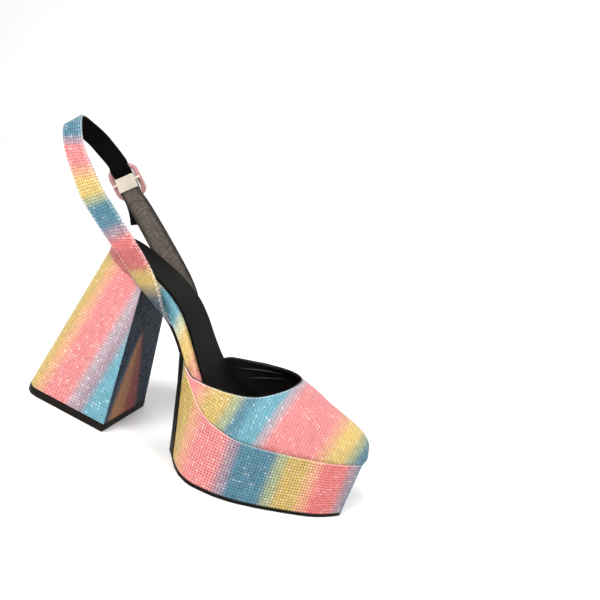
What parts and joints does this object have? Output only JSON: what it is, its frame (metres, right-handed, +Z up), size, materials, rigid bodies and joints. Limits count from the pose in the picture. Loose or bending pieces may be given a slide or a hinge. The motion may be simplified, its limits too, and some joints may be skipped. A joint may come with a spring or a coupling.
{
  "type": "platform heel",
  "caption": "Right-foot platform heel with closed square toe, thick sole, tall flared heel and buckled ankle strap.",
  "frame": {"origin": "on the floor under the middle of the heel, at the centre of the tread of the heel's top piece", "axes": "+X from the heel to the toe, +Y from the outer side of the foot to its inner side, +Z up from the floor"},
  "size_m": [0.3058, 0.0917, 0.2113],
  "materials": {
    "glitter_weave": "woven glitter cloth in soft rainbow bands of pink, yellow, blue and mauve",
    "black_leather": "smooth black lining with a soft sheen",
    "black_rubber": "satin black",
    "buckle_weave": "frame covered in the pink part of the weave",
    "nickel": "pale satin metal"
  },
  "bodies": {
    "root": {"upper": "glitter_weave", "platform": "glitter_weave", "outsole": "black_rubber", "heel_block": "glitter_weave", "heel_top_piece": "black_rubber", "footbed": "glitter_weave", "sock_lining": "black_leather", "strap_long": "glitter_weave", "strap_short": "glitter_weave", "buckle_frame": "buckle_weave", "buckle_bar": "nickel", "buckle_plate": "nickel", "buckle_prong": "nickel"}
  },
  "joints": []
}
